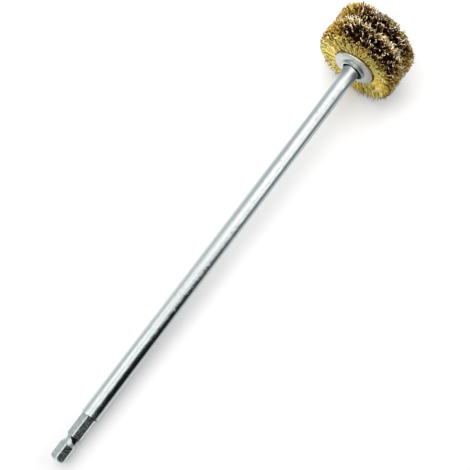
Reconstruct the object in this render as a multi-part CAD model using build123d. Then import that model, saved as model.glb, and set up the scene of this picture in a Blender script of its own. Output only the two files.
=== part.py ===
from build123d import *
import os
from math import atan2, cos, degrees, hypot, radians, sin, sqrt, tan

# Drill wire brush, in millimetres. +X runs along the tool from the hex shank to the brush, +Z is up,
# and the origin is the centre of the shank's end face.

# Hex drive shank
hex_flats = 6.35  # quarter-inch power drive, across the flats
hex_length = 21.7  # showing in front of the rod
hex_bevel_length = 1.1  # cone at the shank's end
hex_bevel_angle = 30.0  # between that cone and the axis
groove_centre = 9.5  # ball-detent groove, from the shank's end
groove_width = 4.2  # at the hexagon's corners
groove_floor = 1.7  # flat width at its bottom
groove_neck = 4.9  # diameter left there
tail_diameter = 5.0  # round tail, a press fit in the rod
tail_length = 14.0

# Extension rod
rod_diameter = 8.0
rod_reach = 217.5  # from the shank's end to the front plate's outer face
rod_bevel = 0.35
lead_margin = 0.3  # the taper at the rod's shoulder starts this far outside the eyelet's rolled end
drill_point_angle = 118.0  # at the bottom of the hole for the tail
spigot_diameter = 6.0  # threaded end through the hub
spigot_bevel = 0.7
spigot_proud = 1.0  # past the nut

# Brush head
head_width = 22.4  # over the outer faces of both plates
plate_diameter = 20.4
plate_thickness = 1.0
plate_rim = 1.7  # width of the rim that is rolled towards the wires
plate_curl = 0.55  # how far it is rolled in
spacer_diameter = 18.0
spacer_thickness = 1.0
hoop_width = 2.6  # strip hoop that the wires are folded round
hoop_thickness = 1.6

# Hub eyelet
eyelet_wall = 0.7  # round the rod's shoulder
eyelet_roll_rise = 0.45  # from the eyelet's outside to the crest of its rolled ends
eyelet_roll_height = 1.1
shoulder_depth = 0.6  # the rod's shoulder sits this far behind the front plate's outer face

# Fasteners
washer_diameter = 12.0
washer_thickness = 1.2
lock_washer_diameter = 9.8
lock_washer_thickness = 1.5
lock_washer_gap = 1.0
lock_washer_twist = 12.0  # slant of the split, in degrees
nut_flats = 10.0
nut_thickness = 3.2
nut_bevel_angle = 30.0

# Wire rings
brush_diameter = 43.6  # over the longest wire tips
tip_length = 2.8  # of the ends that stand apart, outside the packed wires
sectors = 13  # each ring repeats this many times round the axis
rim_rows = 3  # of wire tips along X on the flat of the rim
rim_columns = 4  # of wire tips across one sector
fold_thickness = 1.3  # of the folded wires inside the hoop
groove_opening = 2.0  # between the two rings
side_setback = 0.9  # of the worn edge's start, from the plate's outer face
edge_round = 1.7  # worn edge of the packed wires
edge_splay = 0.9  # how far the tips on that edge lean sideways
tip_scatter = 0.7  # how far the other tips lean, each its own way
tip_heights = 4  # different ones
tip_variation = 0.45  # from one height to the next
golden_turn = 137.5  # between the directions in which neighbouring tips lean, in degrees
side_strands = 2  # crimped wires in relief on the side of one sector
strand_thickness = 0.8
crimp_height = 0.55  # of the wave, each side of the wire's line
crimp_step = 2.4  # half a wave

# Turned round edges are cut as short cones
round_step = 45.0  # degrees of the round in one cone

# Clearances, on the radius
rod_gap = 0.10  # rod in the eyelet's mouth
bore_gap = 0.05  # spigot in the eyelet, the washers and the nut
eyelet_gap = 0.05  # eyelet in the plates, the spacer and the wire rings
hoop_gap = 0.04  # hoop in its folded wires
wire_gap = 0.05  # wires under the plate's rolled rim

# Derived places along X
front_face = rod_reach
front_inner = front_face + plate_thickness
rear_face = front_face + head_width
middle = front_face + head_width / 2
shoulder = front_face + shoulder_depth
lead_start = front_face - eyelet_roll_height - lead_margin
washer_face = rear_face + eyelet_roll_height
lock_face = washer_face + washer_thickness
nut_face = lock_face + lock_washer_thickness
nut_end = nut_face + nut_thickness
spigot_end = nut_end + spigot_proud

# Derived radii
corner_radius = hex_flats / sqrt(3)
tail_radius = tail_diameter / 2
rod_radius = rod_diameter / 2
spigot_radius = spigot_diameter / 2
spigot_bore = spigot_radius + bore_gap
eyelet_mouth = rod_radius + rod_gap
eyelet_radius = eyelet_mouth + eyelet_wall
hub_bore = eyelet_radius + eyelet_gap
plate_radius = plate_diameter / 2
plate_flat = plate_radius - plate_rim
brush_radius = brush_diameter / 2
packed_radius = brush_radius - tip_length
packed_edge = packed_radius - edge_round

# Derived sizes of one sector of a wire ring
sector_angle = 360 / sectors
sector_spread = tan(radians(sector_angle / 2))  # half its width, over its distance from the axis
sector_flat = cos(radians(sector_angle / 2))  # from its corners to its flat, as a share of the radius
fold_outside = hub_bore + fold_thickness
hoop_inside = fold_outside / sector_flat + hoop_gap
hoop_outside = hoop_inside + hoop_thickness

# Derived places of the front wire ring along X
wire_side = front_face + side_setback
wire_root = front_inner + plate_curl + wire_gap
groove_side = middle - groove_opening / 2
spacer_side = middle - spacer_thickness / 2
hoop_centre = (front_inner + spacer_side) / 2


def turned(*points):
    """The solid that the closed outline through (axial place, radius) points sweeps round the axis."""
    return revolve(make_face(Polyline(*points, close=True)), Axis.X)


def disc(face, thickness, bore, rim):
    """A flat ring of two radii, from its face along X."""
    return turned((face, bore), (face, rim), (face + thickness, rim), (face + thickness, bore))


def quarter_round(size):
    """Steps (axial, radial) along a turned round edge, from its top to its side, cut as short cones."""
    steps = round(90 / round_step)
    angles = [radians(90 * k / steps) for k in range(steps + 1)]
    return [(size * sin(a), size * cos(a)) for a in angles]


def hexagon(flats, start, length):
    """A hexagonal bar along X with a corner straight up."""
    section = Plane.YZ * Rot(0, 0, 90) * RegularPolygon(flats / sqrt(3), 6)
    return Pos(start, 0, 0) * extrude(section, length)


def hex_drive_shank():
    """Hexagon with a turned end, a groove for the chuck's ball and a round tail inside the rod."""
    bevel_drop = hex_bevel_length * tan(radians(hex_bevel_angle))
    tail_end = hex_length + tail_length
    envelope = turned(
        (0, 0),
        (0, corner_radius - bevel_drop),
        (hex_bevel_length, corner_radius),
        (hex_length, corner_radius),
        (hex_length, 0),
    )
    groove = turned(
        (groove_centre - groove_width / 2, corner_radius),
        (groove_centre - groove_floor / 2, groove_neck / 2),
        (groove_centre + groove_floor / 2, groove_neck / 2),
        (groove_centre + groove_width / 2, corner_radius),
        (groove_centre, hex_flats),
    )
    tail = turned(
        (hex_length, 0),
        (hex_length, tail_radius),
        (tail_end - rod_bevel, tail_radius),
        (tail_end, tail_radius - rod_bevel),
        (tail_end, 0),
    )
    return (hexagon(hex_flats, 0, hex_length) & envelope) - groove + tail


def extension_rod():
    """Rod with a drilled hole for the hex shank's tail, a tapered shoulder and a spigot for the nut."""
    hole_end = hex_length + tail_length
    point_depth = tail_radius / tan(radians(drill_point_angle / 2))
    return turned(
        (hex_length, tail_radius),
        (hex_length, rod_radius - rod_bevel),
        (hex_length + rod_bevel, rod_radius),
        (lead_start, rod_radius),
        (shoulder, rod_radius - rod_bevel),
        (shoulder, spigot_radius),
        (spigot_end - spigot_bevel, spigot_radius),
        (spigot_end, spigot_radius - spigot_bevel),
        (spigot_end, 0),
        (hole_end + point_depth, 0),
        (hole_end, tail_radius),
    )


def hub_eyelet():
    """Tube that holds the head together: its ends are rolled outwards over both plates."""
    crest = eyelet_radius + eyelet_roll_rise
    roll = [(axial, crest + radial) for axial, radial in quarter_round(eyelet_roll_height)]
    front_roll = [(front_face - axial, radius) for axial, radius in roll]
    rear_roll = [(rear_face + axial, radius) for axial, radius in reversed(roll)]
    return turned(
        (front_face, eyelet_radius),
        *front_roll,
        (shoulder, eyelet_mouth),
        (shoulder, spigot_bore),
        (rear_face, spigot_bore),
        *rear_roll,
        (rear_face, eyelet_radius),
    )


def front_plate():
    """Stamped plate with its rim rolled towards the wires."""
    return turned(
        (front_face, hub_bore),
        (front_face, plate_flat),
        (front_face + plate_curl, plate_radius),
        (front_inner + plate_curl, plate_radius),
        (front_inner, plate_flat),
        (front_inner, hub_bore),
    )


def front_hoop():
    return disc(hoop_centre - hoop_width / 2, hoop_width, hoop_inside, hoop_outside)


def packed_wires():
    """Outline in (axial place, distance) of one sector of the wires, where they stand close.

    They are clamped by the plate and the spacer, folded round the hoop, and flare out from the plate's rim.
    """
    wires = Polyline(
        (spacer_side, hub_bore),
        (front_inner, hub_bore),
        (front_inner, plate_flat * sector_flat),
        (wire_root, plate_radius * sector_flat),
        (wire_root, plate_radius + wire_gap),
        (wire_side, packed_edge),
        (wire_side + edge_round, packed_radius),
        (groove_side - edge_round, packed_radius),
        (groove_side, packed_edge),
        (spacer_side, spacer_diameter / 2),
        close=True,
    )
    start = hoop_centre - hoop_width / 2 - hoop_gap
    end = hoop_centre + hoop_width / 2 + hoop_gap
    top = hoop_outside + hoop_gap
    room = Polyline((start, fold_outside), (start, top), (end, top), (end, fold_outside), close=True)
    return make_face(wires) - make_face(room)


def strand(length):
    """Crimped wire along +Y: a zigzag of square section in the YZ plane."""
    steps = round(length / crimp_step)
    half = strand_thickness / 2
    line = [(crimp_height * (-1) ** k, length * k / steps) for k in range(steps + 1)]
    left = [(x - half, y) for x, y in line]
    right = [(x + half, y) for x, y in reversed(line)]
    flat = extrude(make_face(Polyline(*left, *right, close=True)), half, both=True)
    return Rot(0, 90, 0) * flat


def relief_strands():
    """Crimped wires half sunk in the flaring side of one sector, from the plate's rim to the worn edge."""
    rise = packed_edge - plate_radius - wire_gap
    lean = wire_root - wire_side
    start = plate_radius + strand_thickness
    share = (start - plate_radius - wire_gap) / rise
    wire = Rot(0, 0, degrees(atan2(lean, rise))) * strand(hypot(lean, rise) * (1 - share))
    wire = Pos(wire_root - lean * share, start, 0) * wire
    turns = [sector_angle * ((k + 0.5) / side_strands - 0.5) for k in range(side_strands)]
    return [Rot(turn, 0, 0) * wire for turn in turns]


def spike(corners, tip):
    """Closely packed wires that end in one point: a pyramid on four corners."""
    sides = [Face(Wire.make_polygon([*pair, tip])) for pair in zip(corners, corners[1:] + corners[:1])]
    return Solid(Shell([Face(Wire.make_polygon(corners)), *sides]))


def wire_tips():
    """Rows of spikes over the rim and both edges of one sector."""
    flat_start = wire_side + edge_round
    flat_end = groove_side - edge_round
    step = (flat_end - flat_start) / rim_rows
    rows = [(wire_side, packed_edge, flat_start, packed_radius, -edge_splay)]
    for k in range(rim_rows):
        start = flat_start + k * step
        rows.append((start, packed_radius, start + step, packed_radius, 0))
    rows.append((flat_end, packed_radius, groove_side, packed_edge, edge_splay))
    tips = []
    for row, (x0, y0, x1, y1, splay) in enumerate(rows):
        for column in range(rim_columns):
            low = sector_spread * (2 * column / rim_columns - 1)
            high = sector_spread * (2 * (column + 1) / rim_columns - 1)
            corners = [(x0, y0, y0 * low), (x1, y1, y1 * low), (x1, y1, y1 * high), (x0, y0, y0 * high)]
            count = row * rim_columns + column
            way = radians(golden_turn * count)
            x = (x0 + x1) / 2 + splay + tip_scatter * cos(way)
            z = packed_radius * (low + high) / 2 + tip_scatter * sin(way)
            reach = brush_radius - tip_variation * (count % tip_heights)
            tips.append(spike(corners, (x, sqrt(reach**2 - z**2), z)))
    return tips


def front_ring():
    """Wire ring, fused from equal sectors: each is packed wires between two planes through the axis."""
    half_width = brush_radius * sector_spread
    wedge = Polyline((0, 0), (brush_radius, half_width), (brush_radius, -half_width), close=True)
    wedge = extrude(Plane.YZ * make_face(wedge), middle)
    body = extrude(packed_wires(), half_width, both=True) & wedge
    sector = body + relief_strands() + wire_tips()
    return Part() + [Rot(k * sector_angle, 0, 0) * sector for k in range(sectors)]


def lock_washer():
    """Flat ring with a slanting split."""
    ring = disc(lock_face, lock_washer_thickness, spigot_bore, lock_washer_diameter / 2)
    centre = Pos(lock_face + lock_washer_thickness / 2, 0, lock_washer_diameter / 2)
    split = Box(lock_washer_diameter, lock_washer_gap, lock_washer_diameter)
    return ring - centre * Rot(0, 0, lock_washer_twist) * split


def hex_nut():
    """Thin nut, its outer face turned down to the flats."""
    corner = nut_flats / sqrt(3)
    bevel = (corner - nut_flats / 2) * tan(radians(nut_bevel_angle))
    envelope = turned(
        (nut_face, spigot_bore),
        (nut_face, corner),
        (nut_end - bevel, corner),
        (nut_end, nut_flats / 2),
        (nut_end, spigot_bore),
    )
    return hexagon(nut_flats, nut_face, nut_thickness) & envelope


def mirrored(shape):
    """The rear piece that matches a front one, across the middle of the head."""
    return mirror(shape, Plane.YZ.offset(middle))


ring = front_ring()
pieces = {
    "hex_drive_shank": hex_drive_shank(),
    "extension_rod": extension_rod(),
    "hub_eyelet": hub_eyelet(),
    "front_plate": front_plate(),
    "rear_plate": mirrored(front_plate()),
    "front_wire_ring": ring,
    "rear_wire_ring": mirrored(ring),
    "front_retaining_hoop": front_hoop(),
    "rear_retaining_hoop": mirrored(front_hoop()),
    "centre_spacer": disc(spacer_side, spacer_thickness, hub_bore, spacer_diameter / 2),
    "flat_washer": disc(washer_face, washer_thickness, spigot_bore, washer_diameter / 2),
    "lock_washer": lock_washer(),
    "hex_nut": hex_nut(),
}

os.makedirs("parts", exist_ok=True)
for name, shape in pieces.items():
    shape.label = name
    export_step(shape, f"parts/{name}.step")
    print(name, "solids", len(shape.solids()), "volume", round(shape.volume, 2))
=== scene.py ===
from math import atan2, cos, pi, radians, sin, tan

import bpy
import numpy as np
from mathutils import Matrix, Vector


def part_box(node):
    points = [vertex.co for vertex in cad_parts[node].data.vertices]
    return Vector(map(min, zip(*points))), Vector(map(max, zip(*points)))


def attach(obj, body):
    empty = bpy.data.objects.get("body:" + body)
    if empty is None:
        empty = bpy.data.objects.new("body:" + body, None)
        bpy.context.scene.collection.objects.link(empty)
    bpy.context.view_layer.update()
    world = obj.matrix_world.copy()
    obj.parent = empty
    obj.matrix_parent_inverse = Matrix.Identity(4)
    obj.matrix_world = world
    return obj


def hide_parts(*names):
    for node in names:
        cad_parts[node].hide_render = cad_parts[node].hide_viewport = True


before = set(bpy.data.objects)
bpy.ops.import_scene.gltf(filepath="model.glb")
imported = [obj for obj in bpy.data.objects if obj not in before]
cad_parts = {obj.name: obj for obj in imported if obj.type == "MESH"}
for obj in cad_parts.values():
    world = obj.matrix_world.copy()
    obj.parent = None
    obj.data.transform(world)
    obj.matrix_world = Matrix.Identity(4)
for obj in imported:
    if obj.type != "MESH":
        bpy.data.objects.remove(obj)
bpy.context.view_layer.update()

# A long drill wire brush on a white table. Lengths in this script are millimetres until a mesh, an
# object or a shader takes them, +X runs along the tool from the hex shank to the brush, and +Z is up.
MM = 0.001

# Camera
CAMERA_PLACE = (69.06, -60.92, 324.36)
CAMERA_TARGET = (121.67, -2.89, 0.0)
CAMERA_UP = (0.7873, 0.5720, 0.2300)
CAMERA_LENS = 57.4  # on a sensor 36 mm wide
CAMERA_REACH = 20.0  # metres

# Edges and rounds that the solids leave sharp
FINE_EDGE = 0.12
ROD_EDGE = 0.18
PLATE_EDGE = 0.22
BED_EDGE = 0.5
HEX_SOFTNESS = 0.05  # how gently the faces of the shank and the nut run into each other
CORNER_WEAR = 0.12  # rubbed off the hexagons' corners

# Shank
GROOVE_CENTRE = 9.5
GROOVE_WIDTH = 4.2
GROOVE_NECK = 4.9  # diameter
BEVEL_LENGTH = 1.1
BEVEL_ANGLE = 30.0

# Rod
ROD_BEVEL = 0.35
TAIL_GAP = 0.05  # round the shank's tail in the rod's bore
BORE_POINT = 1.5  # depth of the bore's pointed end
BORE_TIP = 0.3  # radius
SHOULDER_DEPTH = 0.6  # behind the front plate's face
SPIGOT_RADIUS = 3.0
THREAD_PITCH = 1.0
THREAD_DEPTH = 0.55
THREAD_LENGTH = 4.5
THREAD_BEVEL = 0.6

# Plates, eyelet, washers and nut
PLATE_THICKNESS = 1.0
PLATE_RIM = 1.7  # width of the rolled rim
PLATE_CURL = 0.55  # how far the rim is rolled towards the wires
EYELET_WALL = 0.8
EYELET_GAP = 0.05  # round the eyelet in a plate
MOUTH_GAP = 0.1  # round the rod in the eyelet
SPIGOT_BORE = 3.05  # radius of the holes that sit on the spigot
WASHER_GAP = 1.0  # between the split washer's ends
WASHER_SLANT = 12.0
NUT_BEVEL_ANGLE = 30.0
NUT_BORE_BEVEL = 0.25

# Wires
WIRE_SIDES = 4
CRIMP_HEIGHT = 0.42
CRIMP_LENGTH = 3.6
TIP_CURL = 1.9  # how far the worn ends turn aside
TIP_WEAR = 1.3  # how much shorter than the longest the others are
RIM_WIRES = 1300  # on each ring
RIM_ROOT = 15.8  # radius where the rim's wires start
RIM_BEND = 0.9
RIM_SPREAD = (0.6, 0.045)  # of the tips, in mm along the tool and in radians round it
SIDE_WIRES = 680
SIDE_BEND = 0.55
SIDE_SPREAD = (0.25, 0.05)
SIDE_CRIMP = 0.8  # as a share of the other wires' crimp
GAP_WIRES = 240
GAP_ROOT = 15.0
GAP_BEND = 2.6
GAP_SPREAD = (0.4, 0.13)
GAP_HALF_WIDTH = 1.0  # of the groove between the rings
GAP_SHIFT = 0.95  # how far that groove lies towards the rear
EDGE_ROUND = 1.9  # radius of the rim's worn edges
GOLD_EDGE = 1.6  # width of the gold along them
WORN_OVAL = 0.25  # the wires are longer on the -Y side
HEAD_LEAN = 0.075  # the wires lean towards the shank on the -Y side

# Bed of packed wires
BED_BORE = 6.0
BED_INNER = 9.05  # radius where the bed leaves the spacer
BED_SHOULDER = 16.0  # radius where its rim starts to round
BED_RADIUS = 17.4
BED_STEP = 0.35

# Studio. What the metal reflects is a tent of cards that runs along the tool: brightness at angles round
# its axis, from 0 at the +Y side over 90 straight up to 180 at the -Y side. The tents of the shank, the
# middle and the head follow one another by the direction's X, and the lip's is on the fan card.
SKY_FILL = 0.45
TENT_AT_SHANK = (
    (-40, 0.80), (15, 0.45), (48, 1.0), (70, 1.0), (84, 0.70), (97, 1.1), (110, 0.75), (121, 0.30),
    (133, 0.02), (190, 0.0), (215, 0.5), (270, 0.8),
)
TENT_AT_MIDDLE = (
    (-40, 0.85), (0, 0.65), (20, 0.5), (48, 0.88), (98, 0.92), (111, 0.7), (126, 0.65), (147, 0.04),
    (186, 0.01), (215, 0.5), (270, 0.7),
)
TENT_AT_HEAD = (
    (-35, 0.9), (10, 0.50), (35, 0.45), (50, 0.60), (75, 1.1), (105, 1.1), (120, 0.85), (138, 1.1),
    (162, 0.4), (182, 0.1), (205, 0.45), (270, 0.8),
)
TENT_AT_LIP = (
    (-40, 0.25), (50, 0.3), (70, 0.4), (90, 0.95), (108, 0.95), (122, 0.45), (140, 0.13), (225, 0.10),
    (270, 0.2),
)
GENTLE_TENT = (
    (-90, 0.80), (-20, 0.55), (30, 0.45), (70, 1.0), (110, 1.0), (150, 0.35), (200, 0.22), (240, 0.70),
)
COOL_GREY = (0.84, 1.0, 1.03)
SHANK_TO_MIDDLE = (-0.11, 0.0)  # X of the direction
MIDDLE_TO_HEAD = (0.0, 0.25)
PHOTO_DIRECTION = 0.07  # X of what the photograph's side of the tool reflects
TO_GENTLE = (0.30, 0.55)  # how far X is from it
LAMP_PLACE = (130, 220, 590)
LAMP_TARGET = (120, 0, 0)
LAMP_SIZE = (900, 800)
LAMP_ROLL = 20.0
LAMP_POWER = 4.5

# Card before the wires
FAN_COLUMNS = 48
FAN_PLACE = 216.2
FAN_LEAN = 1.3
FAN_GAP = 0.02  # from the rod
FAN_MARGIN = 1.5  # past the brush
LIP_TO_HEAD = (7.0, 20.0)  # radii between which the lip's tent gives way to the head's

# Card over the table. Its brightness and its share are ranges: two places, then the values at them
CARD_CENTRE = (192, 0, -20.5)
CARD_HALF_LENGTH = 25
CARD_HALF_WIDTH = 60
CARD_LIGHT = (-8, 12, 0.5, 1.1)  # by Y
CARD_FADE = (170, 195, 0.0, 1.0)  # by X

# Table. Its glow for the camera has ranges too, by X along it or by the distance aside
TABLE_NEAR = -260.0
TABLE_HALF = 1600.0
TABLE_GAP = 0.05  # under the shank's lower corner
GLOW_ALONG = (0, 120, 0.06, 0.22)
GLOW_ASIDE = (5, 12, 0.0, 0.07)
GLOW_PAST_SHANK = (-20, -5, 0.12, 0.0)
HEAD_STARTS = (190, 220, 0.0, 1.0)
HEAD_ENDS = (225, 255, 1.0, 0.0)
GLOW_AT_HEAD = (8, 30, -0.10, 0.08)
TOOL_MIDDLE = 124.0
WHITE_WEIGHTS = (0.55, 1, 0)  # the white starts outside an ellipse that is longer along the tool
TO_WHITE = (80, 200, 0.0, 1.0)

random = np.random.default_rng(20)


def extent(node):
    """Lowest and highest corner of a node of the frame, in millimetres."""
    low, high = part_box(node)
    return np.array(low) / MM, np.array(high) / MM


# Places and radii that come from the frame
_, shank_high = extent("hex_drive_shank")
rod_low, rod_high = extent("extension_rod")
plate_low, plate_high = extent("front_plate")
_, rear_high = extent("rear_plate")
eyelet_low, eyelet_high = extent("hub_eyelet")
washer_low, washer_high = extent("flat_washer")
lock_low, lock_high = extent("lock_washer")
nut_low, nut_high = extent("hex_nut")
ring_low, ring_high = extent("front_wire_ring")
spacer_low, _ = extent("centre_spacer")

hex_end = rod_low[0]
hex_flats = shank_high[1] * 2
hex_corner = shank_high[2]
rod_radius = rod_high[2]
front_face = plate_low[0]
rear_face = rear_high[0]
middle = (front_face + rear_face) / 2
shoulder = front_face + SHOULDER_DEPTH
plate_radius = plate_high[2]
eyelet_radius = rod_radius + EYELET_WALL
roll_crest = eyelet_high[2] - (front_face - eyelet_low[0])
clamp = plate_high[0] + 0.1  # where the wires leave the front plate
outside = ring_low[0] + 1.0  # where the rim starts on the open side
brush_radius = min(ring_high[1], ring_high[2], -ring_low[1], -ring_low[2]) - 0.05


# Meshes and pieces

def build_mesh(name, points, faces):
    """A mesh that faces outwards, from points (n, 3) in millimetres and a list of arrays of corner numbers.

    The signed volume is the sum over the faces' triangles of first corner . (second x third) / 6.
    Where it comes out negative, every face is turned round.
    """
    volume = 0.0
    for group in faces:
        for k in range(1, group.shape[1] - 1):
            a, b, c = points[group[:, 0]], points[group[:, k]], points[group[:, k + 1]]
            volume += np.einsum("ij,ij->", a, np.cross(b, c)) / 6
    if volume < 0:
        faces = [group[:, ::-1] for group in faces]
    corners = np.concatenate([group.ravel() for group in faces]).astype(np.int32)
    sizes = np.concatenate([np.full(len(group), group.shape[1]) for group in faces])
    starts = np.concatenate([[0], np.cumsum(sizes)[:-1]]).astype(np.int32)
    mesh = bpy.data.meshes.new(name)
    mesh.vertices.add(len(points))
    mesh.vertices.foreach_set("co", (points * MM).astype(np.float32).ravel())
    mesh.loops.add(len(corners))
    mesh.loops.foreach_set("vertex_index", corners)
    mesh.polygons.add(len(starts))
    mesh.polygons.foreach_set("loop_start", starts)
    mesh.polygons.foreach_set("use_smooth", np.ones(len(starts), dtype=bool))
    mesh.update(calc_edges=True)
    mesh.validate()
    return mesh


def point_values(mesh, label, values):
    """Gives a mesh an attribute with one value for each point."""
    mesh.attributes.new(label, "FLOAT", "POINT").data.foreach_set("value", values.astype(np.float32))


def add_object(name, data):
    """Puts a mesh, a lamp or a camera in the scene."""
    thing = bpy.data.objects.new(name, data)
    bpy.context.scene.collection.objects.link(thing)
    return thing


def add_piece(name, mesh, material, slot, *nodes):
    """Puts a mesh in the scene as a piece that stands for nodes of the frame."""
    mesh.materials.append(material)
    piece = add_object(name, mesh)
    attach(piece, "root")
    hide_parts(*nodes)
    return piece


def full_turn(count):
    """Equal angles right round the axis."""
    return np.arange(count) * 2 * pi / count


def round_the_axis(x, radius, angle):
    """Points at x, a radius and an angle round the axis: y = radius cos(angle), z = radius sin(angle)."""
    x, y, z = np.broadcast_arrays(x, radius * np.cos(angle), radius * np.sin(angle))
    return np.stack([x, y, z], axis=-1)


def strip_faces(rows, columns, closed=False):
    """Four-sided faces over rows of points that run right round; closed joins the last row to the first."""
    row = np.arange(rows if closed else rows - 1)[:, None]
    column = np.arange(columns)[None, :]
    here, below = row * columns, (row + 1) % rows * columns
    beside = (column + 1) % columns
    return np.stack([here + column, here + beside, below + beside, below + column], -1).reshape(-1, 4)


def turned_surface(name, x, radius, closed=False, sharp=40):
    """Mesh of a turned or milled form: x (rows) and radius (rows, columns) over equal angles round the axis.

    A closed form joins its last row to its first, as a ring does. An open one has a point at the centre of
    each end.
    """
    rows, columns = radius.shape
    points = round_the_axis(x[:, None], radius, full_turn(columns)[None, :]).reshape(-1, 3)
    faces = [strip_faces(rows, columns, closed)]
    if not closed:
        points = np.concatenate([points, [[x[0], 0, 0], [x[-1], 0, 0]]])
        first, last = rows * columns, rows * columns + 1
        start = (rows - 1) * columns
        around = np.arange(columns)
        after = (around + 1) % columns
        faces.append(np.stack([np.full(columns, first), after, around], -1))
        faces.append(np.stack([np.full(columns, last), start + around, start + after], -1))
    mesh = build_mesh(name, points, faces)
    mesh.set_sharp_from_angle(angle=radians(sharp))
    return mesh


def rounded(outline, size, closed=True, steps=4):
    """An outline of (x, radius) points with every corner P rounded.

    The round runs from A to B, which lie the given size before and after P, along
    (1 - t)^2 A + 2 t (1 - t) P + t^2 B. An open outline keeps its first and last point.
    """
    points = np.array(outline, dtype=float)
    before = np.roll(points, 1, axis=0) - points
    after = np.roll(points, -1, axis=0) - points
    before_length = np.linalg.norm(before, axis=1, keepdims=True)
    after_length = np.linalg.norm(after, axis=1, keepdims=True)
    reach = np.minimum(size, 0.45 * np.minimum(before_length, after_length))
    a = points + before / before_length * reach
    b = points + after / after_length * reach
    t = np.linspace(0, 1, steps)[None, :, None]
    curve = (1 - t) ** 2 * a[:, None] + 2 * t * (1 - t) * points[:, None] + t**2 * b[:, None]
    if closed:
        return curve.reshape(-1, 2)
    return np.concatenate([points[:1], curve[1:-1].reshape(-1, 2), points[-1:]])


def turned_piece(name, outline, size, material, slot, *nodes, columns=160):
    """A piece whose closed, rounded outline is turned round the tool's axis."""
    profile = rounded(outline, size)
    radius = np.repeat(profile[:, 1:], columns, axis=1)
    mesh = turned_surface(name, profile[:, 0], radius, closed=True)
    return add_piece(name, mesh, material, slot, *nodes)


def hexagon_radius(angle, flats):
    """Radius of a hexagon with a corner straight up: flats / 2 / cos(angle from a face's middle)."""
    from_face = (angle - pi / 2) % (pi / 3) - pi / 6
    return flats / 2 / np.cos(from_face)


def soft_least(a, b, softness):
    """The lesser of two lengths, run together where nearly equal: -k ln(exp(-a / k) + exp(-b / k))."""
    return -softness * np.logaddexp(-a / softness, -b / softness)


# Nodes of a shader

def graph(tree, kind, inputs=None, **settings):
    """Adds a node; inputs gives a value, or another node's socket, for each of its own sockets."""
    node = tree.nodes.new(kind)
    for key, value in settings.items():
        setattr(node, key, value)
    for key, value in (inputs or {}).items():
        if isinstance(value, bpy.types.NodeSocket):
            tree.links.new(value, node.inputs[key])
        else:
            node.inputs[key].default_value = value
    return node


def maths(tree, operation, a, b=0.0):
    """One operation on two numbers, which are values or sockets."""
    return graph(tree, "ShaderNodeMath", {0: a, 1: b}, operation=operation).outputs[0]


def product(tree, first, *others):
    """Several numbers multiplied."""
    for other in others:
        first = maths(tree, "MULTIPLY", first, other)
    return first


def total(tree, first, *others):
    """Several numbers added up."""
    for other in others:
        first = maths(tree, "ADD", first, other)
    return first


def own_place(tree):
    """The object's own coordinates, together and apart."""
    place = graph(tree, "ShaderNodeTexCoord").outputs["Object"]
    return place, graph(tree, "ShaderNodeSeparateXYZ", {"Vector": place}).outputs


def weighted_length(tree, place, weights):
    """Length of a vector whose X, Y and Z are multiplied by the weights first."""
    both = {0: place, 1: weights}
    weighted = graph(tree, "ShaderNodeVectorMath", both, operation="MULTIPLY").outputs["Vector"]
    return graph(tree, "ShaderNodeVectorMath", {0: weighted}, operation="LENGTH").outputs["Value"]


def point_value(tree, label):
    """What a mesh's attribute says."""
    return graph(tree, "ShaderNodeAttribute", attribute_name=label).outputs["Fac"]


def pattern(tree, scale, stretch=(1, 1, 1), detail=4.0, distortion=0.0):
    """Noise over the object's own coordinates, in features per metre; stretch multiplies each axis."""
    place, _ = own_place(tree)
    mapped = graph(tree, "ShaderNodeMapping", {"Vector": place, "Scale": stretch}).outputs["Vector"]
    settings = {"Scale": scale, "Detail": detail, "Roughness": 0.6, "Distortion": distortion}
    return graph(tree, "ShaderNodeTexNoise", {"Vector": mapped, **settings}).outputs["Fac"]


def ranged(tree, value, low, high, start=0.0, end=1.0):
    """A value from low to high, brought to the range from start to end."""
    names = {"Value": value, "From Min": low, "From Max": high, "To Min": start, "To Max": end}
    return graph(tree, "ShaderNodeMapRange", names).outputs["Result"]


def ranged_mm(tree, value, low, high, start=0.0, end=1.0):
    """The same for a length or a place, with low and high in millimetres."""
    return ranged(tree, value, low * MM, high * MM, start, end)


def mixed(tree, share, first, second):
    """A colour between two, which are colours or sockets."""
    node = graph(tree, "ShaderNodeMix", data_type="RGBA")
    tree.links.new(share, node.inputs[0])
    for socket, value in ((node.inputs[6], first), (node.inputs[7], second)):
        if isinstance(value, bpy.types.NodeSocket):
            tree.links.new(value, socket)
        else:
            socket.default_value = (*value, 1)
    return node.outputs[2]


def colour_ramp(tree, value, stops):
    """Colours that follow one another at the given values."""
    node = graph(tree, "ShaderNodeValToRGB", {"Fac": value})
    elements = node.color_ramp.elements
    for element, (place, colour) in zip((elements[0], elements[1]), (stops[0], stops[-1])):
        element.position = place
        element.color = (*colour, 1)
    for place, colour in stops[1:-1]:
        elements.new(place).color = (*colour, 1)
    return node.outputs["Color"]


def bump(tree, shader, height, strength, distance):
    """Small relief in the shading alone, its distance in millimetres."""
    node = graph(tree, "ShaderNodeBump", {"Height": height, "Strength": strength, "Distance": distance * MM})
    tree.links.new(node.outputs["Normal"], shader.inputs["Normal"])


def metal(name, colour, roughness):
    """A metal material with its shader, ready for a pattern."""
    material = bpy.data.materials.new(name)
    material.use_nodes = True
    tree = material.node_tree
    shader = tree.nodes["Principled BSDF"]
    shader.inputs["Metallic"].default_value = 1.0
    shader.inputs["Base Color"].default_value = (*colour, 1)
    shader.inputs["Roughness"].default_value = roughness
    return material, tree, shader


def darkened(colour, share):
    """A colour with each channel multiplied by the same share."""
    return tuple(share * channel for channel in colour)


# Materials of the tool

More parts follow.
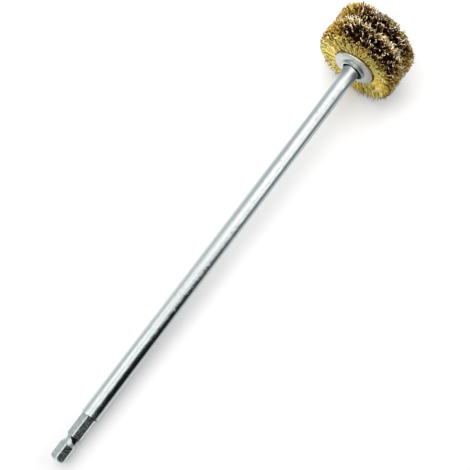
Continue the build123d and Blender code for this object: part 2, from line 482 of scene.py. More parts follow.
def plated_rod():
    """Bright plating with fine scuffs along the rod, soft waves and small dull spots.

    Painted black shade sits on the -Y side of the rod's end at the shank.
    """
    colour = (0.93, 0.95, 0.95)
    painted_shade = (0.01, 0.01, 0.01)
    material, tree, shader = metal("rod plating", colour, 0.12)
    scuffs = pattern(tree, 900, (0.02, 1, 1), detail=6.0)
    spots = pattern(tree, 900, (0.6, 1, 1))
    waves = pattern(tree, 320, (0.8, 1, 1), detail=3.0)
    dull = ranged(tree, spots, 0.60, 0.68)
    rough = total(tree, ranged(tree, scuffs, 0.35, 0.75, 0.03, 0.09), product(tree, dull, 0.3))
    tree.links.new(rough, shader.inputs["Roughness"])
    plating = mixed(tree, dull, colour, darkened(colour, 0.78))
    _, parts = own_place(tree)
    # Painted shade: black on the -Y side of the rod's end at the shank.
    at_joint = ranged_mm(tree, parts["X"], hex_end + 0.55, hex_end + 0.75, 1.0, 0.0)
    painted_shade_share = product(tree, at_joint, ranged_mm(tree, parts["Y"], -0.6, 0.8, 1.0, 0.0))
    tree.links.new(mixed(tree, painted_shade_share, plating, painted_shade), shader.inputs["Base Color"])
    bump(tree, shader, total(tree, waves, product(tree, scuffs, 0.05)), 1.0, 0.13)
    return material


def machined_steel():
    """Milled hexagon: pale grey-green steel with mottled patches and fine lines across it.

    Painted black shade fills the groove's half nearer the rod on the -Y side, from a slanted edge to the
    groove's end.
    """
    pale, dark = (0.97, 1.0, 0.99), (0.62, 0.68, 0.66)
    painted_shade = (0.02, 0.02, 0.02)
    groove_end = GROOVE_CENTRE + GROOVE_WIDTH / 2
    material, tree, shader = metal("machined steel", (0.95, 0.98, 0.96), 0.2)
    patches = pattern(tree, 1100, (1, 0.6, 0.6), detail=6.0, distortion=0.8)
    lines = pattern(tree, 2600, (1, 0.12, 0.12), detail=3.0)
    marks = total(tree, product(tree, patches, 0.55), product(tree, lines, 0.45))
    mottled = mixed(tree, ranged(tree, marks, 0.40, 0.60), pale, dark)
    _, parts = own_place(tree)
    # Painted shade in the groove, black.
    slanted = total(tree, parts["X"], product(tree, parts["Y"], -0.67))
    painted_shade_share = product(
        tree,
        ranged_mm(tree, slanted, GROOVE_CENTRE + 0.7, GROOVE_CENTRE + 1.1),
        ranged_mm(tree, parts["Y"], 0.2, 0.7, 1.0, 0.0),
        ranged_mm(tree, parts["X"], groove_end - 0.1, groove_end + 0.1, 1.0, 0.0),
    )
    tree.links.new(mixed(tree, painted_shade_share, mottled, painted_shade), shader.inputs["Base Color"])
    tree.links.new(ranged(tree, patches, 0.35, 0.65, 0.08, 0.30), shader.inputs["Roughness"])
    bump(tree, shader, marks, 0.5, 0.05)
    return material


def zinc(name, colour, roughness):
    """Zinc plating: a satin surface with soft blotches, which are darker and duller, and a fine grain."""
    material, tree, shader = metal(name, colour, roughness)
    blotches = pattern(tree, 700, detail=5.0)
    blotched = mixed(tree, ranged(tree, blotches, 0.35, 0.7), colour, darkened(colour, 0.82))
    rough = ranged(tree, blotches, 0.3, 0.7, roughness - 0.06, roughness + 0.08)
    tree.links.new(blotched, shader.inputs["Base Color"])
    tree.links.new(rough, shader.inputs["Roughness"])
    bump(tree, shader, pattern(tree, 5200, detail=2.0), 0.2, 0.03)
    return material


def eyelet_with_painted_shade():
    """Rolled steel with painted shade in its mouth, dark where the radius is less than the roll's crest.

    Noise makes the shade's edge uneven, and the shade reaches further out on the -Y side. The roll's
    outer turn is painted darker than its crest, as shade.
    """
    painted_mouth_shade = (0.012, 0.014, 0.012)
    bright, dark = (0.93, 0.98, 0.95), (0.50, 0.57, 0.53)
    material, tree, shader = metal("rolled steel, painted mouth shade", (0.93, 0.96, 0.94), 0.2)
    place, parts = own_place(tree)
    radius = weighted_length(tree, place, (0, 1, 1))
    # Painted shade in the mouth, reaching further out on the -Y side.
    uneven = product(tree, pattern(tree, 600), 0.6 * MM)
    further = product(tree, maths(tree, "MINIMUM", parts["Y"], 0.0), 0.13)
    unshaded_share = ranged_mm(tree, total(tree, radius, uneven, further), roll_crest - 0.2, roll_crest + 0.05)
    # The roll's outer turn is painted darker, as shade.
    turned = ranged_mm(tree, radius, roll_crest + 0.12, roll_crest + 0.38)
    bare = mixed(tree, turned, bright, dark)
    tree.links.new(mixed(tree, unshaded_share, painted_mouth_shade, bare), shader.inputs["Base Color"])
    tree.links.new(ranged(tree, unshaded_share, 0.0, 1.0, 0.5, 0.2), shader.inputs["Roughness"])
    return material


def brass_wire():
    """Crimped wire: some ends rubbed pale, brown and then nearly black below, and bright brass on the sides.

    Three attributes steer it: depth runs down from the end and is painted shade, which darkens the wire
    below; gold is 1 where the wire lies open on a side, and tone is the wire's own.
    """
    # The ramps darken down the wire as painted shade; so does the darker brass of the lower side wires.
    dull_end = ((0.0, (0.25, 0.10, 0.04)), (0.22, (0.15, 0.05, 0.015)), (0.5, (0.012, 0.004, 0.002)))
    pale_end = ((0.0, (1.0, 0.88, 0.68)), (0.30, (0.70, 0.42, 0.18)), (0.55, (0.04, 0.015, 0.005)))
    old_brass, new_brass = (0.88, 0.50, 0.035), (1.0, 0.92, 0.34)
    shaded_brass = (0.19, 0.085, 0.012)
    material, tree, shader = metal("brass wire", (0.86, 0.62, 0.17), 0.34)
    depth, gold, tone = point_value(tree, "depth"), point_value(tree, "gold"), point_value(tree, "tone")
    dull = colour_ramp(tree, depth, dull_end)
    pale = colour_ramp(tree, depth, pale_end)
    standing = mixed(tree, ranged(tree, tone, 0.55, 0.80), dull, pale)
    own_brass = mixed(tree, tone, old_brass, new_brass)
    lying = mixed(tree, ranged(tree, depth, 0.1, 0.9), own_brass, shaded_brass)
    tree.links.new(mixed(tree, gold, standing, lying), shader.inputs["Base Color"])
    return material


def wire_core():
    """Painted shade that shows between the wires: nearly black inside the rim, brown-gold behind the sides.
    """
    brown, gold = (0.12, 0.05, 0.008), (0.36, 0.19, 0.03)
    black = (0.02, 0.012, 0.008)
    material, tree, shader = metal("packed wire", (0.05, 0.03, 0.015), 0.6)
    grain = mixed(tree, ranged(tree, pattern(tree, 900), 0.35, 0.65), brown, gold)
    # Painted shade: black where depth is 1, under the rim's wires.
    tree.links.new(mixed(tree, point_value(tree, "depth"), grain, black), shader.inputs["Base Color"])
    return material


rod_plating = plated_rod()
shank_steel = machined_steel()
plate_zinc = zinc("plate zinc", (0.74, 0.74, 0.72), 0.36)
hub_metal = zinc("rolled steel", (0.66, 0.67, 0.65), 0.24)
eyelet_metal = eyelet_with_painted_shade()
fastener_zinc = zinc("fastener zinc", (0.58, 0.59, 0.57), 0.26)
brass = brass_wire()
core_wire = wire_core()


# Shank, rod and hub

def hex_shank():
    """The least of four radii: the hexagon's, its worn corners', the end's cone and the groove's arc.

    The cone is corner + (x - bevel length) tan(bevel angle). The arc is neck / 2 + r - sqrt(r^2 - d^2), where
    d is the distance from the groove's centre and r the arc's radius.
    """
    columns = 240
    angle = full_turn(columns)[None, :]
    half = GROOVE_WIDTH / 2
    depth = hex_corner - GROOVE_NECK / 2
    arc = (half**2 + depth**2) / (2 * depth)
    bevel_rows = BEVEL_LENGTH * 1.6
    groove_rows = half * 1.05
    stretches = [
        np.linspace(0, bevel_rows, 26),
        np.linspace(bevel_rows, GROOVE_CENTRE - half, 6),
        np.linspace(GROOVE_CENTRE - groove_rows, GROOVE_CENTRE + groove_rows, 84),
        np.linspace(GROOVE_CENTRE + groove_rows, hex_end, 10),
    ]
    x = np.unique(np.concatenate(stretches))[:, None]
    cone = hex_corner + (x - BEVEL_LENGTH) * tan(radians(BEVEL_ANGLE))
    offset = np.minimum(np.abs(x - GROOVE_CENTRE), arc)
    groove = GROOVE_NECK / 2 + arc - np.sqrt(arc**2 - offset**2)
    bar = soft_least(hexagon_radius(angle, hex_flats), hex_corner - CORNER_WEAR, HEX_SOFTNESS)
    bar = soft_least(bar, cone, HEX_SOFTNESS)
    bar = soft_least(bar, groove, HEX_SOFTNESS)
    first = bar[0].mean()
    face = np.array([[first * 0.5], [first * 0.9], [first - FINE_EDGE]]) * np.ones((1, columns))
    tail = np.full((2, columns), GROOVE_NECK / 2)
    x = np.concatenate([np.zeros(3), x[:, 0] + FINE_EDGE * 0.5, [hex_end + FINE_EDGE, shank_high[0]]])
    mesh = turned_surface("shank_body", x, np.concatenate([face, bar, tail]), sharp=30)
    return add_piece("shank_body", mesh, shank_steel, "shank_steel", "hex_drive_shank")


def threaded_rod():
    """Rod with a bore for the shank's tail, a shoulder, and a thread on the spigot's end.

    The thread's radius falls by its depth times a wave of x / pitch - angle / (2 pi) turns.
    """
    columns = 160
    tail_end = shank_high[0]
    tail_radius = GROOVE_NECK / 2 + TAIL_GAP
    end = rod_high[0]
    outline = [
        (tail_end + BORE_POINT, BORE_TIP),
        (tail_end, tail_radius),
        (hex_end, tail_radius),
        (hex_end, rod_radius - ROD_BEVEL),
        (hex_end + ROD_BEVEL, rod_radius),
        (shoulder - ROD_BEVEL, rod_radius),
        (shoulder, rod_radius - ROD_BEVEL),
        (shoulder, SPIGOT_RADIUS),
        (end - THREAD_LENGTH, SPIGOT_RADIUS),
    ]
    profile = rounded(outline, ROD_EDGE, closed=False)
    x = np.linspace(end - THREAD_LENGTH, end, 91)[1:, None]
    turns = x / THREAD_PITCH - full_turn(columns)[None, :] / (2 * pi)
    wave = np.abs(2 * (turns % 1) - 1)
    bevel = SPIGOT_RADIUS + (end - THREAD_BEVEL - x)
    thread = np.minimum(SPIGOT_RADIUS - THREAD_DEPTH * (1 - wave), bevel)
    x = np.concatenate([profile[:, 0], x[:, 0]])
    radius = np.concatenate([np.repeat(profile[:, 1:], columns, axis=1), thread])
    mesh = turned_surface("plated_rod", x, radius, sharp=50)
    return add_piece("plated_rod", mesh, rod_plating, "rod_chrome", "extension_rod")


def stamped_plate(name, face, way, node):
    """Plate with its rim rolled towards the wires; way points from its outer face to them."""
    bore = eyelet_radius + EYELET_GAP
    flat = plate_radius - PLATE_RIM
    curl = way * PLATE_CURL
    inner = face + way * PLATE_THICKNESS
    outline = [
        (face, bore),
        (face, flat),
        (face + curl, plate_radius),
        (inner + curl, plate_radius),
        (inner, flat),
        (inner, bore),
    ]
    turned_piece(name, outline, PLATE_EDGE, plate_zinc, "plate_zinc", node)


def roll_outline(face, way):
    """Points round a rolled end of the eyelet: a quarter circle over the plate that turns in to the bore."""
    height = abs((eyelet_low[0] if way < 0 else eyelet_high[0]) - face)
    crest = eyelet_high[2] - height
    turn = np.linspace(0, pi / 2, 12)
    return np.stack([face + way * height * np.sin(turn), crest + height * np.cos(turn)], -1)


def rolled_eyelet():
    """Tube through the head with both its ends rolled over the plates."""
    mouth = rod_radius + MOUTH_GAP
    parts = [
        [(front_face, eyelet_radius)],
        roll_outline(front_face, -1),
        [(shoulder, mouth), (shoulder, SPIGOT_BORE), (rear_face, SPIGOT_BORE)],
        roll_outline(rear_face, 1)[::-1],
        [(rear_face, eyelet_radius)],
    ]
    outline = np.concatenate(parts)
    return turned_piece("rolled_eyelet", outline, FINE_EDGE, eyelet_metal, "hub_steel", "hub_eyelet")


def washer_outline(low, high, rim):
    """Square section of a washer on the spigot, out to its rim's radius."""
    return [(low[0], SPIGOT_BORE), (low[0], rim), (high[0], rim), (high[0], SPIGOT_BORE)]


def plain_washer():
    """Flat ring under the split washer."""
    outline = washer_outline(washer_low, washer_high, washer_high[2])
    turned_piece("plain_washer", outline, FINE_EDGE, fastener_zinc, "fastener_zinc", "flat_washer")


def split_washer():
    """Square section carried nearly once round the axis, its two ends cut on a slant."""
    rows = 120
    rim = lock_high[1]
    section = rounded(washer_outline(lock_low, lock_high, rim), FINE_EDGE)
    x, radius = section[:, 0], section[:, 1]
    gap = WASHER_GAP / rim
    slant = (x - (lock_low[0] + lock_high[0]) / 2) * tan(radians(WASHER_SLANT)) / rim
    share = np.linspace(0, 1, rows)[:, None]
    angle = pi / 2 - slant + gap / 2 + share * (2 * pi - gap)
    points = round_the_axis(x[None, :], radius[None, :], angle).reshape(-1, 3)
    count = len(x)
    ends = np.stack([np.arange(count), (rows - 1) * count + np.arange(count)[::-1]])
    mesh = build_mesh("split_washer", points, [strip_faces(rows, count), ends])
    mesh.set_sharp_from_angle(angle=radians(40))
    add_piece("split_washer", mesh, fastener_zinc, "fastener_zinc", "lock_washer")


def thin_nut():
    """Hexagon turned down to its flats at the outer face, over a plain bore with bevelled ends."""
    columns = 240
    low, high = nut_low[0], nut_high[0]
    flats = nut_high[1] * 2
    corner = nut_high[2]
    x = np.linspace(low, high, 40)[:, None]
    cone = flats / 2 + (high - x) / tan(radians(NUT_BEVEL_ANGLE))
    outer = soft_least(hexagon_radius(full_turn(columns)[None, :], flats), cone, HEX_SOFTNESS)
    outer = soft_least(outer, corner - CORNER_WEAR, HEX_SOFTNESS)
    wide = SPIGOT_BORE + NUT_BORE_BEVEL
    bore = np.array([[wide], [SPIGOT_BORE], [SPIGOT_BORE], [wide]]) * np.ones((1, columns))
    bore_x = np.array([high, high - NUT_BORE_BEVEL, low + NUT_BORE_BEVEL, low])
    x = np.concatenate([x[:, 0], bore_x])
    mesh = turned_surface("thin_nut", x, np.concatenate([outer, bore]), closed=True, sharp=30)
    add_piece("thin_nut", mesh, fastener_zinc, "fastener_zinc", "hex_nut")


mirror_pieces = [hex_shank(), threaded_rod(), rolled_eyelet()]
stamped_plate("front_side_plate", front_face, 1, "front_plate")
stamped_plate("rear_side_plate", rear_face, -1, "rear_plate")
plain_washer()
split_washer()
thin_nut()
for node in ("front_retaining_hoop", "rear_retaining_hoop", "centre_spacer"):
    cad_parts[node].data.materials.clear()
    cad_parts[node].data.materials.append(hub_metal)


# Wire rings

def ring_place(x, way):
    """A point's place along the tool in the front ring (way 1), or its mirror place in the rear one (-1)."""
    return middle + way * (x - middle)


def groove_side(way):
    """Where the rim ends at the groove between the rings, in the front ring's places."""
    return middle - GAP_HALF_WIDTH + way * GAP_SHIFT


def crimped_wires(name, node, way, root, tip, bend, thickness, painted_wire_shade, gold, tone, crimp=1.0, segments=8):
    """Bundle of crimped wires, each a thin square prism carried along a wavy line.

    root and tip are arrays of (x, radius, angle). With t from 0 at the root to 1 at the tip, the line's
    radius and angle run straight from one to the other, and x runs as t to the power of the bend. Added
    to it are the crimp, height * min(1, 4 t) * sin(2 pi radius / length + phase) in a plane of the wire's
    own, and the curl of its worn end, curl * (0.6 + tone) * t^4 in a direction of its own. The radius is
    kept within the brush's, then grows on the -Y side by up to the worn oval times t, and everywhere x
    grows by lean * y * t. A point's depth is painted shade between the wires: the given function of the
    radius there and at the tip.
    """
    count = len(root)
    t = np.linspace(0, 1, segments + 1)[None, :]
    radius = root[:, 1:2] + (tip[:, 1:2] - root[:, 1:2]) * t
    angle = root[:, 2:3] + (tip[:, 2:3] - root[:, 2:3]) * t
    x = root[:, 0:1] + (tip[:, 0:1] - root[:, 0:1]) * t**bend
    phase, plane, aside = random.uniform(0, 2 * pi, (3, count, 1))
    length = CRIMP_LENGTH * random.uniform(0.8, 1.25, (count, 1))
    wave = CRIMP_HEIGHT * crimp * random.uniform(0.6, 1.3, (count, 1)) * np.minimum(1, 4 * t)
    wave = wave * np.sin(2 * pi * radius / length + phase)
    curl = TIP_CURL * random.uniform(0.2, 0.7, (count, 1)) * (0.6 + tone[:, None]) * t**4
    x = ring_place(x + wave * np.cos(plane) + curl * np.cos(aside), way)
    angle = angle + (wave * np.sin(plane) + curl * np.sin(aside)) / radius
    radius = np.minimum(radius, brush_radius) + WORN_OVAL * t * np.where(np.cos(angle) < 0, -np.cos(angle), 0)
    x = x + HEAD_LEAN * radius * np.cos(angle) * t
    corner = full_turn(WIRE_SIDES)[None, None, :] + plane[..., None]
    half = thickness[:, None, None] / 2
    around_x = x[..., None] + half * np.cos(corner)
    around = angle[..., None] + half * np.sin(corner) / radius[..., None]
    points = round_the_axis(around_x, radius[..., None], around).reshape(-1, 3)
    first = np.arange(count)[:, None] * (segments + 1) * WIRE_SIDES
    sides = (first[..., None] + strip_faces(segments + 1, WIRE_SIDES)[None]).reshape(-1, 4)
    start = first + np.arange(WIRE_SIDES)[None, ::-1]
    end = first + segments * WIRE_SIDES + np.arange(WIRE_SIDES)[None, :]
    mesh = build_mesh(name, points, [sides, np.concatenate([start, end])])
    # Depth is painted shade between the wires.
    depth = np.clip(painted_wire_shade(radius, tip[:, 1:2]), 0, 1)
    for label, values in (("depth", depth), ("gold", gold[:, None]), ("tone", tone[:, None])):
        point_values(mesh, label, np.repeat((values * np.ones_like(depth)).ravel(), WIRE_SIDES))
    add_piece(name, mesh, brass, "brass_wire", node)


def rim_wires(name, node, way):
    """Wires that stand on the rim, shorter towards its worn edges, with painted shade between them.

    They are gold along both edges of the rim, all over the +Y side, and where they point to -Y; the gold is
    painted lighter there, with less painted shade.
    """
    count = RIM_WIRES
    inside = groove_side(way)
    x = random.uniform(outside, inside, count)
    from_edge = np.minimum(x - outside, inside - x)
    inset = np.maximum(EDGE_ROUND - from_edge, 0)
    drop = EDGE_ROUND - np.sqrt(EDGE_ROUND**2 - inset**2)
    radius = brush_radius - drop - TIP_WEAR * random.random(count) ** 1.5
    angle = random.uniform(0, 2 * pi, count)
    root_x = clamp + 1.0 + (spacer_low[0] - clamp - 1.5) * (x - outside) / (inside - outside)
    root = np.stack([root_x, np.full(count, RIM_ROOT), angle], -1)
    tip_x = x + random.normal(0, RIM_SPREAD[0], count)
    tip = np.stack([tip_x, radius, angle + random.normal(0, RIM_SPREAD[1], count)], -1)
    # Gold: painted lighter, with less painted shade, along the edges, on the +Y side and towards -Y.
    across = np.cos(angle)
    gold_edges = np.clip(1.0 - from_edge / GOLD_EDGE, 0, 1)
    gold_near = np.clip(3 * (across - 0.38), 0, 1)
    gold_far = np.clip(-6 * (across + 0.82), 0, 1)
    gold = np.clip(gold_edges + gold_near + gold_far, 0, 1) * random.uniform(0.0, 1.0, count) ** 0.6
    tone = random.random(count)
    thickness = 0.26 + 0.26 * tone**2
    tone = tone * (1 - 0.45 * gold)

    # Painted shade, darker further below the wire's end.
    def painted_wire_shade(here, end):
        return (end - here) / 4.0

    name = f"{name}_rim_wires"
    crimped_wires(name, node, way, root, tip, RIM_BEND, thickness, painted_wire_shade, gold, tone)


def side_wires(name, node, way):
    """Wires that lie over one another on the ring's open side, from the plate's rim out to the edge."""
    count = SIDE_WIRES
    angle = random.uniform(0, 2 * pi, count)
    layer = random.random(count)
    root_x = clamp + 0.9 * layer
    tip_x = outside - 0.2 + 1.5 * layer + random.normal(0, SIDE_SPREAD[0], count)
    radius = brush_radius - 0.3 - 1.5 * (1 - layer) - TIP_WEAR * random.random(count)
    root = np.stack([root_x, np.full(count, plate_radius + 0.1), angle], -1)
    tip = np.stack([tip_x, radius, angle + random.normal(0, SIDE_SPREAD[1], count)], -1)
    # Painted shade: the lower layers are darker.
    shade = 0.02 + 0.9 * np.clip((layer[:, None] - 0.32) / 0.5, 0, 1)
    near_plate = plate_radius + 2.0
    tone = np.where(random.random(count) < 0.30, 0.2, 1.0) * random.uniform(0.75, 1.0, count)
    thickness = 0.36 + 0.24 * tone * (1 - layer)
    gold = np.ones(count)

    # Painted shade of the layers, and a painted shadow of the plate's rim close to it.
    def painted_wire_shade(here, end):
        return shade + np.clip((near_plate - here) / 5, 0, 0.4)

    name = f"{name}_side_wires"
    crimped_wires(name, node, way, root, tip, SIDE_BEND, thickness, painted_wire_shade, gold, tone, SIDE_CRIMP, 11)


def groove_wires(name, node, way):
    """Pale wires that lean across the groove between the two rings."""
    count = GAP_WIRES
    angle = random.uniform(0, 2 * pi, count)
    root_x = spacer_low[0] - 0.8 * random.random(count)
    tip_x = groove_side(way) + random.normal(1.2, GAP_SPREAD[0], count)
    radius = brush_radius - 0.3 - TIP_WEAR * random.random(count)
    root = np.stack([root_x, np.full(count, GAP_ROOT), angle], -1)
    tip = np.stack([tip_x, radius, angle + random.normal(0, GAP_SPREAD[1], count)], -1)
    tone = random.random(count) ** 0.4
    gold = 0.05 + 0.3 * random.random(count)
    thickness = 0.36 + 0.34 * tone

    # Painted shade, darker below the wire's end.
    def painted_wire_shade(here, end):
        return (end - here - 1.2) / 2.5

    name = f"{name}_groove_wires"
    crimped_wires(name, node, way, root, tip, GAP_BEND, thickness, painted_wire_shade, gold, tone)


def wire_bed(name, node, way):
    """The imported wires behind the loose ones, turned and pitted.

    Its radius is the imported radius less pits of 0.35 |sin(41 angle + 3 sin(2.1 x)) sin(3.3 x + 7 angle)|
    and finer ones of 0.25 |sin(97 angle + 5 x)|, both of which grow to their full depth over 3 mm outside
    the plate's rim.
    """
    columns = 360
    side = outside + 0.9
    outline = [
        (spacer_low[0], BED_INNER),
        (spacer_low[0], BED_BORE),
        (clamp, BED_BORE),
        (clamp, plate_radius + 0.1),
        (side, BED_SHOULDER),
        (side + 1.2, BED_RADIUS),
        (middle - 2.4, BED_RADIUS),
        (middle - 1.2, BED_SHOULDER),
    ]
    corners = rounded(outline, BED_EDGE, steps=5)
    stretches = []
    for here, there in zip(corners, np.roll(corners, -1, axis=0)):
        steps = max(1, int(np.hypot(*(there - here)) / BED_STEP))
        stretches.append(here + (there - here) * np.arange(steps)[:, None] / steps)
    profile = np.concatenate(stretches)
    x, radius = profile[:, :1], profile[:, 1:]
    angle = full_turn(columns)[None, :]
    pits = 0.35 * np.abs(np.sin(41 * angle + 3 * np.sin(2.1 * x)) * np.sin(3.3 * x + 7 * angle))
    pits = pits + 0.25 * np.abs(np.sin(97 * angle + 5 * x))
    pitted = radius - pits * np.clip((radius - plate_radius) / 3, 0, 1)
    mesh = turned_surface(name, ring_place(profile[:, 0], way), pitted, closed=True, sharp=180)
    # Painted shade: the bed turns black under the rim's wires.
    depth = np.clip((radius - 16.2) / 1.0, 0, 1) * np.ones((1, columns))
    point_values(mesh, "depth", depth.ravel())
    add_piece(name, mesh, core_wire, "brass_wire", node)


for name, node, way in (("front", "front_wire_ring", 1), ("rear", "rear_wire_ring", -1)):
    wire_bed(f"{name}_wire_bed", node, way)
    rim_wires(name, node, way)
    side_wires(name, node, way)
    groove_wires(name, node, way)


# Table and studio

def stage_plane(name, centre, across, along, material):
    """A flat rectangle about a centre, with half sides across and along, in millimetres."""
    centre, across, along = Vector(centre), Vector(across), Vector(along)
    corners = [
        centre - across - along,
        centre + across - along,
        centre + across + along,
        centre - across + along,
    ]
    mesh = bpy.data.meshes.new(name)
    mesh.from_pydata([corner * MM for corner in corners], [], [(0, 1, 2, 3)])
    mesh.materials.append(material)
    plane = add_object(name, mesh)
    return plane


def table_white():
    """White table: its shadows stay, and the camera sees its lit part as white.

    For the camera alone, a glow lifts the table to white and sets how deep the shadows look: it is
    painted light, which lightens the shadows by place. It is the sum of ranges by X along the tool and
    by the distance aside, with a product of ranges beside the head, which is lowest close to the rod and
    leaves the shadow there darker. Far from the tool the table is plain white, as the background is.
    """
    material = bpy.data.materials.new("table white")
    material.use_nodes = True
    tree = material.node_tree
    shader = tree.nodes["Principled BSDF"]
    shader.inputs["Base Color"].default_value = (0.82, 0.815, 0.815, 1)
    shader.inputs["Roughness"].default_value = 0.9
    shader.inputs["Specular IOR Level"].default_value = 0.0
    shader.inputs["Emission Color"].default_value = (1, 1, 1, 1)
    seen = graph(tree, "ShaderNodeLightPath").outputs["Is Camera Ray"]
    place, parts = own_place(tree)
    along = parts["X"]
    aside = maths(tree, "ABSOLUTE", parts["Y"])
    at_head = product(
        tree,
        ranged_mm(tree, along, *HEAD_STARTS),
        ranged_mm(tree, along, *HEAD_ENDS),
        ranged_mm(tree, aside, *GLOW_AT_HEAD),
    )
    glow = total(
        tree,
        ranged_mm(tree, along, *GLOW_ALONG),
        ranged_mm(tree, aside, *GLOW_ASIDE),
        ranged_mm(tree, along, *GLOW_PAST_SHANK),
        at_head,
    )
    tree.links.new(product(tree, seen, glow), shader.inputs["Emission Strength"])
    to_middle = {0: place, 1: (-TOOL_MIDDLE * MM, 0, 0)}
    from_tool = graph(tree, "ShaderNodeVectorMath", to_middle, operation="ADD").outputs["Vector"]
    distance = weighted_length(tree, from_tool, WHITE_WEIGHTS)
    far = product(tree, ranged_mm(tree, distance, *TO_WHITE), seen)
    white = graph(tree, "ShaderNodeEmission", {"Color": (1, 1, 1, 1), "Strength": 1.0}).outputs[0]
    both = graph(tree, "ShaderNodeMixShader", {0: far, 1: shader.outputs[0], 2: white})
    tree.links.new(both.outputs[0], tree.nodes["Material Output"].inputs["Surface"])
    return material


def lay_table():
    """Table under the tool, which lies on the hexagon's lower corner and on the brush.

    Its axis rises from the table by atan((brush radius - hexagon's corner) / distance between the two).
    """
    contact = BEVEL_LENGTH
    tilt = atan2(brush_radius - hex_corner, ring_low[0] + EDGE_ROUND - contact)
    along = Vector((cos(tilt), 0, -sin(tilt)))
    centre = Vector((contact, 0, -hex_corner - TABLE_GAP)) + along * (TABLE_NEAR + TABLE_HALF)
    table = stage_plane("table", centre, along * TABLE_HALF, Vector((0, TABLE_HALF, 0)), table_white())
    table.visible_glossy = False


def turn_round_axis(tree, place):
    """The angle round the axis, as a share of the full turn from -90 degrees, and X."""
    parts = graph(tree, "ShaderNodeSeparateXYZ", {"Vector": place}).outputs
    angle = maths(tree, "ARCTAN2", parts["Z"], parts["Y"])
    share = total(tree, product(tree, angle, 1 / (2 * pi)), 0.25)
    return maths(tree, "FLOORED_MODULO", share, 1.0), parts["X"]


def tent(tree, turn, cards):
    """Brightness of a tent's cards round the axis; a grey g turns cooler by the share 1 - g."""
    stops = []
    for degrees, grey in cards:
        tint = [grey + (grey * cool - grey) * max(0.0, 1 - grey) for cool in COOL_GREY]
        stops.append(((degrees + 90) / 360, tint))
    return colour_ramp(tree, turn, stops)


def studio_world():
    """White where the camera looks, an even fill for the rest, and the tent of cards in reflections.

    Directions far from those that the photograph's side of the tool reflects have a gentler tent.
    """
    world = bpy.data.worlds.new("studio")
    bpy.context.scene.world = world
    world.use_nodes = True
    tree = world.node_tree
    tree.nodes.clear()
    direction = graph(tree, "ShaderNodeTexCoord").outputs["Generated"]
    turn, along = turn_round_axis(tree, direction)
    away = maths(tree, "ABSOLUTE", maths(tree, "SUBTRACT", along, PHOTO_DIRECTION))
    reflected = tent(tree, turn, TENT_AT_SHANK)
    for share, cards in (
        (ranged(tree, along, *SHANK_TO_MIDDLE), TENT_AT_MIDDLE),
        (ranged(tree, along, *MIDDLE_TO_HEAD), TENT_AT_HEAD),
        (ranged(tree, away, *TO_GENTLE), GENTLE_TENT),
    ):
        reflected = mixed(tree, share, reflected, tent(tree, turn, cards))
    path = graph(tree, "ShaderNodeLightPath").outputs
    unseen = mixed(tree, path["Is Glossy Ray"], (SKY_FILL, SKY_FILL, SKY_FILL), reflected)
    seen = mixed(tree, path["Is Camera Ray"], unseen, (1.0, 1.0, 1.0))
    shade = graph(tree, "ShaderNodeBackground", {"Color": seen, "Strength": 1.0})
    output = graph(tree, "ShaderNodeOutputWorld")
    tree.links.new(shade.outputs[0], output.inputs["Surface"])


def card_material(name):
    """An empty material for a card, with a clear shader for where the card doesn't show."""
    material = bpy.data.materials.new(name)
    material.use_nodes = True
    tree = material.node_tree
    tree.nodes.clear()
    return material, tree, graph(tree, "ShaderNodeBsdfTransparent").outputs[0]


def blended_surface(tree, share, first, second):
    """Ends a card's material with a share between two shaders."""
    blend = graph(tree, "ShaderNodeMixShader", {0: share, 1: first, 2: second})
    output = graph(tree, "ShaderNodeOutputMaterial")
    tree.links.new(blend.outputs[0], output.inputs["Surface"])


def only_reflected(card):
    """Hides a card from all but reflections."""
    card.visible_camera = False
    card.visible_diffuse = False
    card.visible_shadow = False


def fan_card():
    """Reflection card round the rod before the wires: only the rod's reflections see it, from its front."""
    material, tree, clear = card_material("fan card")
    place, _ = own_place(tree)
    turn, _ = turn_round_axis(tree, place)
    outwards = ranged_mm(tree, weighted_length(tree, place, (0, 1, 1)), *LIP_TO_HEAD)
    colour = mixed(tree, outwards, tent(tree, turn, TENT_AT_LIP), tent(tree, turn, TENT_AT_HEAD))
    glow = graph(tree, "ShaderNodeEmission", {"Color": colour, "Strength": 1.0}).outputs[0]
    behind = graph(tree, "ShaderNodeNewGeometry").outputs["Backfacing"]
    blended_surface(tree, behind, glow, clear)
    angle = full_turn(FAN_COLUMNS)
    inner = round_the_axis(FAN_PLACE, rod_radius + FAN_GAP, angle)
    outer = round_the_axis(FAN_PLACE + FAN_LEAN * np.cos(angle), brush_radius + FAN_MARGIN, angle)
    points = np.concatenate([inner, outer]) * MM
    mesh = bpy.data.meshes.new("fan_card")
    mesh.from_pydata(points.tolist(), [], strip_faces(2, FAN_COLUMNS).tolist())
    mesh.materials.append(material)
    card = add_object("fan_card", mesh)
    only_reflected(card)


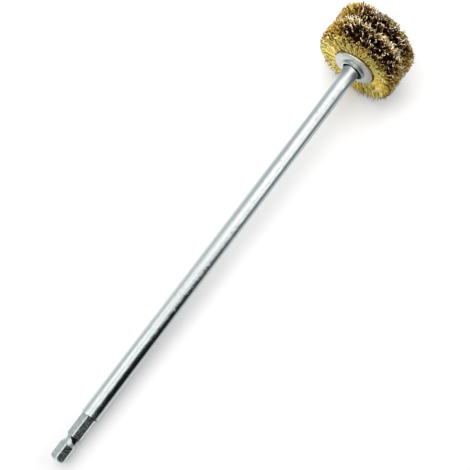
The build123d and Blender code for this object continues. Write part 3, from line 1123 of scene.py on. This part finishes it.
def table_card():
    """What the plate reflects of the table: painted light on the +Y side, a painted shadow of the head on -Y.

    The card glows, fades out towards the shank, and only reflections see it.
    """
    material, tree, clear = card_material("table card")
    _, parts = own_place(tree)
    light = ranged_mm(tree, parts["Y"], *CARD_LIGHT)
    glow = graph(tree, "ShaderNodeEmission", {"Strength": light}).outputs[0]
    blended_surface(tree, ranged_mm(tree, parts["X"], *CARD_FADE), clear, glow)
    across, along = (CARD_HALF_LENGTH, 0, 0), (0, CARD_HALF_WIDTH, 0)
    only_reflected(stage_plane("table_card", CARD_CENTRE, across, along, material))


def key_lamp(passed_by):
    """Rectangular lamp, rolled a little; it passes some pieces by, which show the cards alone."""
    lamp = bpy.data.lights.new("key_light", "AREA")
    lamp.shape = "RECTANGLE"
    lamp.size, lamp.size_y = LAMP_SIZE[0] * MM, LAMP_SIZE[1] * MM
    lamp.energy = LAMP_POWER
    box = add_object("key_light", lamp)
    box.location = Vector(LAMP_PLACE) * MM
    facing = (Vector(LAMP_TARGET) - Vector(LAMP_PLACE)).to_track_quat("-Z", "Y").to_matrix()
    box.rotation_euler = (facing @ Matrix.Rotation(radians(LAMP_ROLL), 3, "Z")).to_euler()
    box.visible_camera = False
    unlit = bpy.data.collections.new("key_light passes by")
    for piece in passed_by:
        unlit.objects.link(piece)
    for member in unlit.collection_objects:
        member.light_linking.link_state = "EXCLUDE"
    box.light_linking.receiver_collection = unlit


def photo_camera():
    """Camera where the photograph's was, by the fit to the tool's outline."""
    data = bpy.data.cameras.new("camera")
    data.lens = CAMERA_LENS
    data.clip_end = CAMERA_REACH
    back = (Vector(CAMERA_PLACE) - Vector(CAMERA_TARGET)).normalized()
    right = Vector(CAMERA_UP).cross(back).normalized()
    turned = Matrix((right, back.cross(right), back)).transposed().to_4x4()
    camera = add_object("camera", data)
    camera.matrix_world = Matrix.Translation(Vector(CAMERA_PLACE) * MM) @ turned
    bpy.context.scene.camera = camera


lay_table()
studio_world()
fan_card()
table_card()
key_lamp(mirror_pieces)
photo_camera()
bpy.context.scene.view_settings.view_transform = "Standard"
